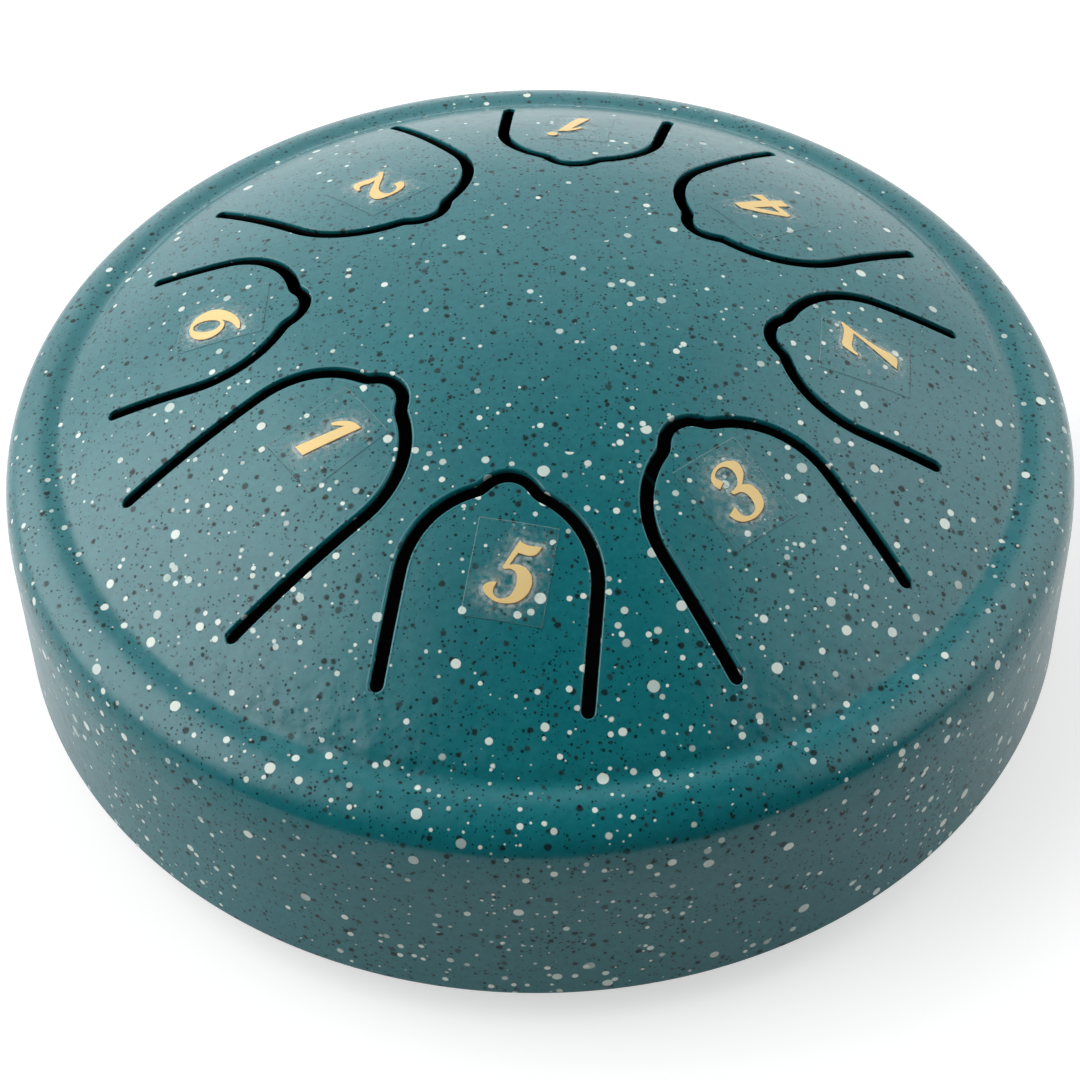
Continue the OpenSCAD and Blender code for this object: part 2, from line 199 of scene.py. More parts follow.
studio = {
    "paper": "#D2D2D2",
    "paperShadow": "#1A1A1A",
    # the paper's left, front, right and back edge (m)
    "paperEdges": (-0.9, -0.27, 0.9, 1.2),
    # how much lighter the camera sees the paper
    "paperLift": 0.55,
    # how much the paper glows in reflections only, a painted reflection, in
    # front of and behind the drum, and where that starts and ends (m)
    "mirrorGlow": (0.08, 0.45, -0.09, 0.06),
    # radius of the paper under the drum painted near black as shadow, and its soft edge (m)
    "shadowCircle": (0.062, 0.006),
    # large soft lights in a dark room: direction, the cosine at which a light
    # ends, and its level on the axis
    "lights": [
        ((-0.82, 0.15, 0.56), 0.72, 2.7),
        ((0.84, 0.18, 0.51), 0.70, 1.85),
        ((-0.82, 0.30, 0.48), 0.39, 1.04),
        ((0.30, 0.66, 0.69), 0.78, 0.42),
        ((0.12, 0.99, 0.00), 0.44, 0.85),
    ],
    # white wall low behind and beside the drum: where it fades in towards +Y
    # and out towards +Z, as shares of the way there, and its level
    "wall": (-0.25, 0.25, 0.30, 0.35),
}


def makePaper():
    # plain paper that the camera sees lifted to white and mirrors see a little
    # lighter as a painted reflection, but under the drum it is painted near black
    # as the drum's shadow
    material, add = newMaterial("white_paper")
    place = add("TexCoord", output="Object")
    away = add("VectorMath", {0: place}, "Value", operation="LENGTH")
    radius, fade = studio["shadowCircle"]
    clear = add(
        "MapRange", {"Value": away, "From Min": radius, "From Max": radius + fade},
        interpolation_type="SMOOTHSTEP")
    near, far, start, end = studio["mirrorGlow"]
    depth = add("SeparateXYZ", {0: place}, "Y")
    mirrored = add(
        "MapRange", {"Value": depth, "From Min": start, "From Max": end, "To Min": near, "To Max": far},
        interpolation_type="SMOOTHSTEP")
    direct = add("LightPath", output="Is Camera Ray")
    direct = add("Math", {0: direct, 1: studio["paperLift"]}, operation="MULTIPLY")
    # the paper glows only for mirror rays, more behind the drum: painted reflection in the glaze
    glossy = add("LightPath", output="Is Glossy Ray")
    lift = add("Math", {0: glossy, 1: mirrored, 2: direct}, operation="MULTIPLY_ADD")
    lift = add("Math", {0: lift, 1: clear}, operation="MULTIPLY")
    # under the drum the paper is painted near black: painted shadow
    dark, pale = linear(studio["paperShadow"]), linear(studio["paper"])
    tone = add("Mix", {0: clear, colorA: dark, colorB: pale}, mixed, data_type="RGBA")
    surface = add("BsdfPrincipled", {
        "Base Color": tone, "Roughness": 0.9, "Specular IOR Level": 0.1,
        "Emission Color": (1, 1, 1, 1), "Emission Strength": lift,
    })
    add("OutputMaterial", {"Surface": surface})
    left, front, right, back = [edge / mm for edge in studio["paperEdges"]]
    corners = np.array([[left, front, 0], [right, front, 0], [right, back, 0], [left, back, 0]])
    addMesh("paper", corners, [(0, 1, 2, 3)], [material])


def makeRoom():
    # the soft lights and the wall as the drum sees them, plain white as the
    # camera sees them
    world = bpy.data.worlds.new("studio")
    bpy.context.scene.world = world
    world.use_nodes = True
    world.node_tree.nodes.clear()
    add = partial(addNode, world.node_tree)
    way = add("TexCoord", output="Generated")
    light = 0.0
    for axis, edge, level in studio["lights"]:
        axis = Vector(axis).normalized()
        along = add("VectorMath", {0: way, 1: axis}, "Value", operation="DOT_PRODUCT")
        glow = add(
            "MapRange", {"Value": along, "From Min": edge, "From Max": 1.0, "To Max": level},
            interpolation_type="SMOOTHSTEP")
        light = add("Math", {0: light, 1: glow}, operation="ADD")
    start, end, roof, level = studio["wall"]
    depth = add("SeparateXYZ", {0: way}, "Y")
    behind = add(
        "MapRange", {"Value": depth, "From Min": start, "From Max": end, "To Max": level},
        interpolation_type="SMOOTHSTEP")
    height = add("SeparateXYZ", {0: way}, "Z")
    low = add(
        "MapRange", {"Value": height, "From Min": 0.0, "From Max": roof, "To Min": 1.0, "To Max": 0.0},
        interpolation_type="SMOOTHSTEP")
    light = add("Math", {0: behind, 1: low, 2: light}, operation="MULTIPLY_ADD")
    direct = add("LightPath", output="Is Camera Ray")
    strength = add("Mix", {0: direct, 2: light, 3: 1.0}, data_type="FLOAT")
    sky = add("Background", {"Color": (1, 1, 1, 1), "Strength": strength})
    add("OutputWorld", {"Surface": sky})


makeCamera()
makePaper()
makeRoom()
bpy.context.scene.view_settings.view_transform = "Standard"
print("camera, floor and light")


# Enamel

enamel = {
    "base": "#0C636C",
    "pale": "#187379",
    "white": "#D2E6E4",
    "cream": "#E6EBDC",
    "brown": "#130D0A",
    "rust": "#2E2320",
    "black": "#030B0C",
    # spots of each colour: cell size, least and greatest radius and soft edge
    # (mm), then the share of cells that have a spot
    "whiteSpots": [
        (3.3, 0.44, 0.80, 0.06, 0.46),
        (2.2, 0.26, 0.48, 0.05, 0.42),
        (1.5, 0.12, 0.24, 0.04, 0.30),
    ],
    "brownSpots": [(1.9, 0.26, 0.50, 0.13, 0.70), (1.25, 0.16, 0.29, 0.09, 0.50)],
    "blackSpots": [(0.8, 0.12, 0.23, 0.05, 0.56), (0.55, 0.07, 0.14, 0.03, 0.50)],
    # how well black, brown and white spots cover what lies under them, and how
    # much of that the thinnest of the white and of the dark ones keep
    "covers": (0.85, 0.82, 0.96), "whiteThin": 0.5, "darkThin": 0.75,
    # how far the outlines of white and of dark spots wander (mm)
    "whiteWobble": 0.14, "darkWobble": 0.35,
    # share of white spots behind and in front, and where each is reached (mm)
    "frontShare": (0.34, 1.45, 20.0, -48.0),
    # strength of the fine mottle, the fired coat's peel and the sheet's waves
    "mottle": 1.6, "peel": 0.10, "waves": 0.5,
    # dents by the groove: radius of their ring and share lost per mm from it,
    # where they start and are full towards the front (mm), strength
    "dents": (64.0, 0.11, -8.0, -34.0, 0.60),
    "spotHeight": 0.03, "bump": 0.35,
    "roughness": 0.2, "glass": 1.52, "gloss": 0.5,
    # how much duller the dark specks are
    "dull": 0.32,
}
# moves the pattern of each size of spots away from the last (mm)
spotShift = np.array([17.3, 5.9, 11.1])


def spots(add, place, row, number, thin, density=1.0):
    # round spots: the distance to the nearest of many scattered points, cut
    # off at a radius that differs from point to point
    cell, least, greatest, soft, share = row
    moved = add("VectorMath", {0: place, 1: (spotShift * number).tolist()}, operation="ADD")
    cells = add("TexVoronoi", {"Vector": moved, "Scale": 1 / cell, "Randomness": 1.0}).node
    chance = add("SeparateColor", {0: cells.outputs["Color"]}).node
    # more small spots than large ones
    skewed = add("Math", {0: chance.outputs[1], 1: 1.5}, operation="POWER")
    radius = add("MapRange", {"Value": skewed, "To Min": least / cell, "To Max": greatest / cell})
    low = add("Math", {0: radius, 1: soft / cell}, operation="SUBTRACT")
    high = add("Math", {0: radius, 1: soft / cell}, operation="ADD")
    far = cells.outputs["Distance"]
    edge = add(
        "MapRange", {"Value": far, "From Min": low, "From Max": high, "To Min": 1.0, "To Max": 0.0},
        interpolation_type="SMOOTHSTEP")
    limit = add("Math", {0: density, 1: share}, operation="MULTIPLY")
    kept = add("Math", {0: chance.outputs[0], 1: limit}, operation="LESS_THAN")
    # some spots are thin, so that the ground shows through them
    thick = add("MapRange", {"Value": chance.outputs[2], "From Max": 0.55, "To Min": thin})
    whole = add("Math", {0: edge, 1: kept}, operation="MULTIPLY")
    return add("Math", {0: whole, 1: thick}, operation="MULTIPLY")


def spatter(add, place, rows, first, thin, density=1.0):
    # several sizes of spots in one mask
    whole = 0.0
    for i, row in enumerate(rows):
        mask = spots(add, place, row, first + i, thin, density)
        whole = add("Math", {0: whole, 1: mask}, operation="MAXIMUM")
    return whole


def enamelHeight(add, place, white):
    # orange peel of the fired coat, and slow waves from the pressing
    peel = add("TexNoise", {"Vector": place, "Scale": 0.55, "Detail": 2.0})
    peel = add("Math", {0: peel, 1: enamel["peel"]}, operation="MULTIPLY")
    waves = add("TexNoise", {"Vector": place, "Scale": 0.09, "Detail": 1.0})
    height = add("Math", {0: waves, 1: enamel["waves"], 2: peel}, operation="MULTIPLY_ADD")
    # small dents near the groove, in front
    radius, loss, start, full, strength = enamel["dents"]
    flat = add("VectorMath", {0: place, 1: (1.0, 1.0, 0.0)}, operation="MULTIPLY")
    reach = add("VectorMath", {0: flat}, "Value", operation="LENGTH")
    reach = add("Math", {0: reach, 1: radius}, operation="SUBTRACT")
    reach = add("Math", {0: reach}, operation="ABSOLUTE")
    reach = add("Math", {0: reach, 1: loss}, operation="MULTIPLY")
    ring = add("Math", {0: 1.0, 1: reach}, operation="SUBTRACT", use_clamp=True)
    depth = add("SeparateXYZ", {0: place}, "Y")
    front = add(
        "MapRange", {"Value": depth, "From Min": start, "From Max": full}, interpolation_type="SMOOTHSTEP")
    worked = add("Math", {0: ring, 1: front}, operation="MULTIPLY")
    worked = add("Math", {0: worked, 1: strength}, operation="MULTIPLY")
    dents = add("TexNoise", {"Vector": place, "Scale": 0.34, "Detail": 1.5})
    height = add("Math", {0: dents, 1: worked, 2: height}, operation="MULTIPLY_ADD")
    # the white spots stand up a little
    return add("Math", {0: white, 1: enamel["spotHeight"], 2: height}, operation="MULTIPLY_ADD")


def makeEnamel():
    # glass enamel fired over steel: even teal with spatter in three colours,
    # smooth enough to mirror the studio softly
    material, add = newMaterial("fired_teal_enamel")
    place = millimetres(add)
    # outlines that wander a little, and more for the dark spots
    noise = add("TexNoise", {"Vector": place, "Scale": 1.6, "Detail": 2.0}, "Color")
    shift = add("VectorMath", {0: noise, 1: (0.5, 0.5, 0.5)}, operation="SUBTRACT")
    slight = add("VectorMath", {0: shift, "Scale": enamel["whiteWobble"]}, operation="SCALE")
    smooth = add("VectorMath", {0: place, 1: slight}, operation="ADD")
    strong = add("VectorMath", {0: shift, "Scale": enamel["darkWobble"]}, operation="SCALE")
    ragged = add("VectorMath", {0: place, 1: strong}, operation="ADD")

    # more white towards the front, and in loose clouds
    depth = add("SeparateXYZ", {0: place}, "Y")
    few, many, behind, before = enamel["frontShare"]
    front = add(
        "MapRange", {"Value": depth, "From Min": behind, "From Max": before, "To Min": few, "To Max": many})
    cloud = add("TexNoise", {"Vector": place, "Scale": 0.045, "Detail": 2.0})
    cloud = add(
        "MapRange", {"Value": cloud, "From Min": 0.3, "From Max": 0.7, "To Min": 0.45, "To Max": 1.6})
    density = add("Math", {0: front, 1: cloud}, operation="MULTIPLY")
    white = spatter(add, smooth, enamel["whiteSpots"], 1, enamel["whiteThin"], density)
    brown = spatter(add, ragged, enamel["brownSpots"], 5, enamel["darkThin"])
    black = spatter(add, ragged, enamel["blackSpots"], 9, enamel["darkThin"])

    # teal in two close tones with a fine mottle
    tone = add("TexNoise", {"Vector": place, "Scale": 0.05, "Detail": 3.0})
    fine = add("TexNoise", {"Vector": place, "Scale": 0.9, "Detail": 4.0, "Roughness": 0.6})
    fine = add("Math", {0: fine, 1: 0.5}, operation="SUBTRACT")
    mottle = add("Math", {0: fine, 1: enamel["mottle"], 2: tone}, operation="MULTIPLY_ADD")
    base, pale = linear(enamel["base"]), linear(enamel["pale"])
    color = add("Mix", {0: mottle, colorA: base, colorB: pale}, mixed, data_type="RGBA")
    # brown specks have a rusty edge
    middle = add("Math", {0: brown, 1: 3.0}, operation="POWER")
    rust, deep = linear(enamel["rust"]), linear(enamel["brown"])
    speck = add("Mix", {0: middle, colorA: rust, colorB: deep}, mixed, data_type="RGBA")
    grain = add("TexNoise", {"Vector": place, "Scale": 1.1, "Detail": 2.0})
    cool, warm = linear(enamel["white"]), linear(enamel["cream"])
    drops = add("Mix", {0: grain, colorA: cool, colorB: warm}, mixed, data_type="RGBA")
    coats = ((black, linear(enamel["black"])), (brown, speck), (white, drops))
    for (mask, paint), cover in zip(coats, enamel["covers"]):
        share = add("Math", {0: mask, 1: cover}, operation="MULTIPLY")
        color = add("Mix", {0: share, colorA: color, colorB: paint}, mixed, data_type="RGBA")
    # the dark specks are dull and mirror less than the glass round them
    specks = add("Math", {0: brown, 1: black}, operation="MAXIMUM")
    dull = add("Math", {0: specks, 1: enamel["dull"]}, operation="MULTIPLY")
    gloss = add("Math", {0: enamel["gloss"], 1: dull}, operation="SUBTRACT")

    height = enamelHeight(add, place, white)
    bump = add("Bump", {"Height": height, "Strength": enamel["bump"], "Distance": mm})
    surface = add("BsdfPrincipled", {
        "Base Color": color, "Roughness": enamel["roughness"], "IOR": enamel["glass"],
        "Specular IOR Level": gloss, "Normal": bump,
    })
    add("OutputMaterial", {"Surface": surface})
    return material


def makeGroundAndShadeCoat():
    # thin dark ground coat on the cut edges and inside the drum, painted near
    # black as the shade in the slots and under the steel
    material, add = newMaterial("ground_coat_and_painted_shade")
    grain = add("TexNoise", {"Vector": millimetres(add), "Scale": 0.8, "Detail": 4.0})
    dark, pale = linear("#020404"), linear("#060B0C")
    color = add("Mix", {0: grain, colorA: dark, colorB: pale}, mixed, data_type="RGBA")
    surface = add("BsdfPrincipled", {"Base Color": color, "Roughness": 0.7, "Specular IOR Level": 0.2})
    add("OutputMaterial", {"Surface": surface})
    return material


enamelCoat = makeEnamel()
groundAndShadeCoat = makeGroundAndShadeCoat()


# Shell and tongues

shell = {
    "wallRadius": 75.0, "flare": 1.35, "wallHeight": 25.5,
    "rimHeight": 33.5, "rimInset": 5.3, "rimRadius": 3.5,
    "grooveInset": 2.9, "grooveRadius": 3.0, "domeHeight": 51.2,
    # the sheet, how high the feet lift it, its bottom edge's outer and inner
    # round and how far it stands over the CAD's, and where the wall begins
    "sheet": 1.5, "lift": 5.0, "edgeRounds": (1.1, 0.4), "edgeLift": 0.6, "shoulderDrop": 2.0,
    # the dome is filled out to this radius, and the turned profile goes on
    "fillRadius": 64.4, "fillSpacing": 2.0, "turns": 480, "profileStep": 0.28,
    # rings of the profile after its lowest one that still have enamel
    "paintedRings": 8,
    # the groove, the rising ledge and the rim, from the wall's top radius and
    # the rim's height
    "rim": [
        (-9.7, -0.36), (-8.8, -0.86), (-7.7, -1.03), (-6.4, -1.05), (-5.3, -1.23), (-4.2, -1.60),
        (-3.1, -2.13), (-2.1, -2.85), (-1.2, -4.0), (-0.55, -5.6), (-0.2, -7.4),
    ],
}
slots = {
    "width": 1.9, "tongueWidth": 26.0, "reach": 57.0, "nubRadius": 3.0, "nubRise": 1.7,
    "firstAngle": -98.0, "cornerSoftness": 0.55, "step": 0.45, "fineStep": 0.1, "archPoints": 900,
    "capPoints": 9, "rootPoints": 24, "rootBlend": 6.0,
}
# name, place round the drum, distance of its tip from the middle, then width,
# left and right reach, left and right spread, and shift to the right as shares
# of the sizes above
tongueRows = [
    ("1", 7, 23.1, 0.99, 0.995, 1.02, 1.11, 1.0, 0.015),
    ("2", 5, 24.1, 1.09, 1.03, 0.99, 1.345, 1.225, -0.022),
    ("3", 1, 27.7, 1.0, 1.0, 1.025, 1.06, 1.03, 0.035),
    ("4", 3, 27.6, 1.045, 1.01, 1.02, 1.07, 1.285, -0.008),
    ("5", 0, 29.8, 0.95, 0.99, 1.003, 0.97, 1.02, 0.024),
    ("6", 6, 31.6, 0.99, 0.99, 0.985, 0.94, 1.13, 0.028),
    ("7", 2, 31.3, 1.01, 0.95, 0.99, 1.02, 1.055, 0.024),
    ("high_1", 4, 33.8, 0.9, 1.03, 1.06, 1.01, 0.93, -0.03),
]

# the dome is a sphere that touches the groove's circle, and the groove's
# circle touches the circle of the rim's crest
crest = np.array([shell["wallRadius"] - shell["rimInset"], shell["rimHeight"] - shell["rimRadius"]])
wallTop = np.array([shell["wallRadius"], shell["wallHeight"]])
lean = math.atan2(shell["flare"], shell["wallHeight"])
wallWay = np.array([math.cos(lean), math.sin(lean)])
grooveRise = math.sqrt((shell["rimRadius"] + shell["grooveRadius"]) ** 2 - shell["grooveInset"] ** 2)
groove = crest + [-shell["grooveInset"], grooveRise]
drop = shell["domeHeight"] - groove[1]
domeRadius = (groove[0] ** 2 + drop ** 2 - shell["grooveRadius"] ** 2) / 2 / (shell["grooveRadius"] + drop)
domeCentre = np.array([0.0, shell["domeHeight"] - domeRadius])


def onDome(plan, height=0.0):
    # plan points lifted to the dome's outer face, or to a sphere over it
    z = shell["lift"] + domeCentre[1] + np.sqrt((domeRadius + height) ** 2 - (plan ** 2).sum(axis=-1))
    return np.concatenate([plan, z[..., None]], axis=-1)


def domeNormal(points):
    # straight away from the dome's centre
    return unit(points - [0, 0, shell["lift"] + domeCentre[1]])


def smoothLine(points, startWay, endWay, step):
    # cubic line through points with given end directions, and the direction
    # to its left all along. With steps h and rises r from point to point, the
    # slopes m solve h[i] m[i-1] + 2 (h[i-1] + h[i]) m[i] + h[i-1] m[i+1]
    # = 3 (h[i] r[i-1] + h[i-1] r[i]), so that its bend never jumps.
    t = np.concatenate([[0], np.cumsum(np.linalg.norm(np.diff(points, axis=0), axis=1))])
    h = np.diff(t)[:, None]
    count = len(points)
    matrix, side = np.eye(count), np.zeros((count, 2))
    side[0], side[-1] = startWay, endWay
    rise = np.diff(points, axis=0) / h
    for i in range(1, count - 1):
        before, after = h[i - 1, 0], h[i, 0]
        matrix[i, i - 1:i + 2] = [after, 2 * (before + after), before]
        side[i] = 3 * (after * rise[i - 1] + before * rise[i])
    slopes = np.linalg.solve(matrix, side)
    at = np.linspace(0, t[-1], int(t[-1] / step) + 1)
    k = np.clip(np.searchsorted(t, at, side="right") - 1, 0, count - 2)
    u, d = ((at - t[k]) / h[k, 0])[:, None], h[k]
    line = (2 * u**3 - 3 * u**2 + 1) * points[k] + (u**3 - 2 * u**2 + u) * d * slopes[k]
    line += (3 * u**2 - 2 * u**3) * points[k + 1] + (u**3 - u**2) * d * slopes[k + 1]
    way = 6 * (u**2 - u) * (points[k] - points[k + 1]) / d
    way += (3 * u**2 - 4 * u + 1) * slopes[k] + (3 * u**2 - 2 * u) * slopes[k + 1]
    return line, unit(np.stack([-way[:, 1], way[:, 0]], axis=1))


def bend(centre, radius, start, end, count):
    # points of a profile arc with the direction that the face looks
    a = np.linspace(start, end, count)
    ways = np.stack([np.cos(a), np.sin(a)], axis=1)
    return centre + radius * ways, ways


def shellProfile():
    # from the dome over groove, ledge, rim, shoulder, wall and bottom edge,
    # and back along the inside until the dome's own underside begins
    edge = shell["fillRadius"]
    start = np.array([edge, domeCentre[1] + math.sqrt(domeRadius ** 2 - edge ** 2)])
    out = unit(start - domeCentre)
    down = np.array([math.sin(lean), -math.cos(lean)])
    top = wallTop + down * shell["shoulderDrop"]
    corners = np.array(shell["rim"]) + [shell["wallRadius"], shell["rimHeight"]]
    rimPoints = np.concatenate([[start], corners, [top]])
    rim, rimWays = smoothLine(rimPoints, [out[1], -out[0]], down, shell["profileStep"])
    length = (shell["wallHeight"] - shell["edgeLift"]) / math.cos(lean) - shell["shoulderDrop"]
    outer, inner = shell["edgeRounds"]
    foot = top + down * (length - outer) - wallWay * outer
    innerFoot = top + down * (length - inner) - wallWay * (shell["sheet"] - inner)
    steps = 6
    wall = top + down * np.linspace(0, length - outer, steps)[:, None]
    innerWall = top - wallWay * shell["sheet"] + down * np.linspace(length - inner, 0, steps)[:, None]
    pieces = [(rim, rimWays), (wall, np.tile(wallWay, (steps, 1)))]
    pieces.append(bend(foot, outer, lean, lean - math.pi / 2, 8))
    pieces.append(bend(innerFoot, inner, lean - math.pi / 2, lean - math.pi, 5))
    under = rim - rimWays * shell["sheet"]
    beyond = under[:, 0] > edge + 0.1
    pieces += [(innerWall, np.tile(-wallWay, (steps, 1))), (under[beyond][::-1], -rimWays[beyond][::-1])]
    points = np.concatenate([p for p, w in pieces])
    ways = np.concatenate([w for p, w in pieces])
    new = np.concatenate([[True], np.linalg.norm(np.diff(points, axis=0), axis=1) > 1e-4])
    return points[new] + [0, shell["lift"]], ways[new]


def resample(path, step):
    # points at even steps along a path
    along = np.concatenate([[0], np.cumsum(np.linalg.norm(np.diff(path, axis=0), axis=1))])
    at = np.linspace(0, along[-1], max(2, round(along[-1] / step) + 1))
    return np.stack([np.interp(at, along, path[:, k]) for k in (0, 1)], axis=1)


def slotPath(row):
    # middle line of a slot: left leg in to the arch, round it and its nub,
    # and out along the right leg
    nearest, width, leftReach, rightReach, leftSpread, rightSpread, shift = row[2:]
    half = slots["tongueWidth"] / 2
    archRadius = half * width
    arch = np.array([nearest + slots["nubRise"] + archRadius, slots["tongueWidth"] * shift])
    left = np.array([slots["reach"] * leftReach, -half * leftSpread])
    right = np.array([slots["reach"] * rightReach, half * rightSpread])
    angles = []
    for end, side in ((left, -1), (right, 1)):
        e = end - arch
        angles.append(math.atan2(e[1], e[0]) + side * math.acos(archRadius / np.linalg.norm(e)))
    a = np.linspace(angles[0], angles[1] - 2 * math.pi, slots["archPoints"])
    nubRadius = slots["nubRadius"] + slots["width"] / 2
    nubWay = archRadius + slots["nubRise"] - nubRadius
    off = a + math.pi
    under = nubRadius ** 2 - (nubWay * np.sin(off)) ** 2
    nub = np.where((under > 0) & (np.cos(off) > 0), nubWay * np.cos(off) + np.sqrt(np.maximum(under, 0)), 0)
    radius = np.maximum(archRadius, nub)
    tip = arch + radius[:, None] * np.stack([np.cos(a), np.sin(a)], axis=1)
    path = resample(np.concatenate([[left], tip, [right]]), slots["fineStep"])
    # a soft corner where the nub meets the arch: each point becomes a mean of
    # its neighbours, weighted by a bell curve
    softness = slots["cornerSoftness"] / slots["fineStep"]
    count = int(3 * softness)
    weights = np.exp(-0.5 * (np.arange(-count, count + 1) / softness) ** 2)
    weights /= weights.sum()
    ahead = np.arange(count, 0, -1)[:, None]
    before = path[0] + ahead * (path[0] - path[1])
    after = path[-1] + ahead[::-1] * (path[-1] - path[-2])
    padded = np.concatenate([before, path, after])
    path = np.stack([np.convolve(padded[:, k], weights, mode="valid") for k in (0, 1)], axis=1)
    return resample(path, slots["step"])


def turnOf(row):
    # how far a tongue stands round the drum, in degrees
    return slots["firstAngle"] + row[1] * 360 / len(tongueRows)


def slotLoop(row):
    # closed line of points round a slot and the plan direction from the slot
    # into the steel: the tongue's side comes first
    path = slotPath(row)
    along = unit(np.gradient(path, axis=0))
    away = np.stack([-along[:, 1], along[:, 0]], axis=1)
    a = np.linspace(0, math.pi, slots["capPoints"] + 2)[1:-1, None]
    rightCap = -away[-1] * np.cos(a) + along[-1] * np.sin(a)
    leftCap = away[0] * np.cos(a) - along[0] * np.sin(a)
    cap = (len(a), 1)
    middle = np.concatenate([path, np.tile(path[-1], cap), path[::-1], np.tile(path[0], cap)])
    ways = np.concatenate([-away, rightCap, away[::-1], leftCap])
    return spin(middle, turnOf(row)), spin(ways, turnOf(row)), len(path)


# the steel's edge at a slot: distance from the cut and height over the face,
# first the bead of thick enamel that rounds it, then the bare underside; below
# the bead it gets the near-black coat, painted shade
slotBead = [(0.4, 0.0), (0.25, 0.035), (0.1, 0.04), (0.0, 0.0), (-0.09, -0.11), (-0.12, -0.3), (-0.1, -0.6)]
slotUnder = [(0.0, 0.3), (0.09, 0.09), (0.3, 0.0)]


def slotRings(middle, ways):
    # rings of points from the top face over the bead, down the cut and round
    # to the underside
    edge = np.array(slotBead + [(d, h - shell["sheet"]) for d, h in slotUnder])
    along = np.gradient(edge, axis=0)
    along[0], along[-1] = (-1, 0), (1, 0)
    facing = unit(np.stack([along[:, 1], -along[:, 0]], axis=1))
    rings, normals = [], []
    for (away, height), (side, rise) in zip(edge, facing):
        plan = middle + ways * (slots["width"] / 2 + away)
        points = onDome(plan)
        points[:, 2] += height
        normal = domeNormal(points) * rise
        normal[:, :2] += ways * side
        if height <= -shell["sheet"]:
            points = onDome(plan, -shell["sheet"])
        rings.append(points)
        normals.append(normal)
    return np.array(rings), np.array(normals)


def domePlan(loops, circle):
    # the dome seen from above: triangles between the slots and the circle,
    # with a line of edges along each tongue's root. Gives the points, the
    # triangles, the piece that each belongs to (-1 the shell, 0 to 7 a tongue)
    # and the number of each loop's first point.
    edge = slots["width"] / 2 + slotBead[0][0]
    planLoops = [middle + ways * edge for middle, ways, count in loops] + [circle]
    starts = np.cumsum([0] + [len(loop) for loop in planLoops])
    roots = []
    for i, (middle, ways, count) in enumerate(loops):
        t = np.linspace(0, 1, slots["rootPoints"] + 2)[1:-1, None]
        first, last = planLoops[i][0], planLoops[i][count - 1]
        roots.append((first + (last - first) * t, (starts[i], starts[i] + count - 1)))
    plan, triangles = fillPlan(planLoops, roots, shell["fillSpacing"])
    if len(plan) < starts[-1]:
        raise ValueError("the plan lost some of its edge points")
    middleOf = plan[triangles].mean(axis=1)
    owner = np.full(len(triangles), -1)
    dropped = np.linalg.norm(middleOf, axis=1) > shell["fillRadius"]
    for i, (middle, ways, count) in enumerate(loops):
        dropped |= inside(middleOf, planLoops[i])
        tongueEdge = np.concatenate([planLoops[i][:count], roots[i][0][::-1]])
        owner[inside(middleOf, tongueEdge)] = i
    triangles, owner = triangles[~dropped], owner[~dropped]
    first, second, third = plan[triangles[:, 0]], plan[triangles[:, 1]], plan[triangles[:, 2]]
    down = np.cross(second - first, third - first) < 0
    triangles[down] = triangles[down][:, ::-1]
    return plan, triangles, owner, starts


def makeSteel():
    # one skin: the plan lifted to the dome's outer face and to its underside,
    # rings down each slot between the two, and the profile turned round the
    # axis. The normals come from the same formulas.
    loops = [slotLoop(row) for row in tongueRows]
    turns = shell["turns"]
    a = np.arange(turns) * 2 * math.pi / turns
    ring = np.stack([np.cos(a), np.sin(a)], axis=1)
    plan, triangles, owner, starts = domePlan(loops, shell["fillRadius"] * ring)
    total = len(plan)
    top, bottom = onDome(plan), onDome(plan, -shell["sheet"])
    points = [top, bottom]
    normals = [domeNormal(top), -domeNormal(bottom)]
    size = 2 * total
    faces = [triangles.tolist(), (triangles[:, ::-1] + total).tolist()]
    owners = [owner, owner]
    # the underside of the dome and tongues gets the near-black coat: painted shade
    coats = [np.zeros(len(triangles), int), np.ones(len(triangles), int)]

    def addRings(rows, owner, coat):
        # closed rings of point numbers become quads
        low, high = rows[:-1], rows[1:]
        quads = np.stack([low, np.roll(low, -1, axis=1), np.roll(high, -1, axis=1), high], axis=-1)
        faces.append(quads.reshape(-1, 4).tolist())
        owners.append(np.broadcast_to(owner, quads.shape[:2]).reshape(-1))
        coats.append(np.broadcast_to(coat[:, None], quads.shape[:2]).reshape(-1))

    for i, (middle, ways, count) in enumerate(loops):
        rings, ringNormals = slotRings(middle, ways)
        number = len(middle)
        first = np.arange(number) + starts[i]
        inner = size + np.arange((len(rings) - 2) * number).reshape(-1, number)
        points.append(rings[1:-1].reshape(-1, 3))
        normals.append(ringNormals[1:-1].reshape(-1, 3))
        size += inner.size
        rows = np.concatenate([first[None], inner, first[None] + total])
        side = np.where(np.arange(number) < count - 1, i, -1)
        # below the bead the cut gets the near-black coat: painted shade
        coat = np.where(np.arange(len(rows) - 1) < len(slotBead) - 1, 0, 1)
        addRings(rows, side, coat)

    # the profile without its first point, which the dome's edge has already
    profile, ways = shellProfile()
    rounds = len(profile) - 1
    for group, flat in ((points, profile[1:, None]), (normals, ways[1:, None])):
        upright = np.broadcast_to(flat[..., 1:2], (rounds, turns, 1))
        group.append(np.concatenate([flat[..., 0:1] * ring, upright], axis=2).reshape(-1, 3))
    first = np.arange(turns) + starts[len(loops)]
    inner = size + np.arange(rounds * turns).reshape(-1, turns)
    rows = np.concatenate([first[None], inner, first[None] + total])
    # the wall's inside has enamel as far as the base plate, and beyond it the
    # near-black coat, painted shade
    lowest = np.argmin(profile[:, 1])
    coat = np.where(np.arange(len(rows) - 1) < lowest + shell["paintedRings"], 0, 1)
    addRings(rows[::-1], np.full(turns, -1), coat[::-1])

    points, normals = np.concatenate(points), np.concatenate(normals)
    owners, coats = np.concatenate(owners), np.concatenate(coats)
    faces = [face for group in faces for face in group]
    return points, normals, faces, owners, coats


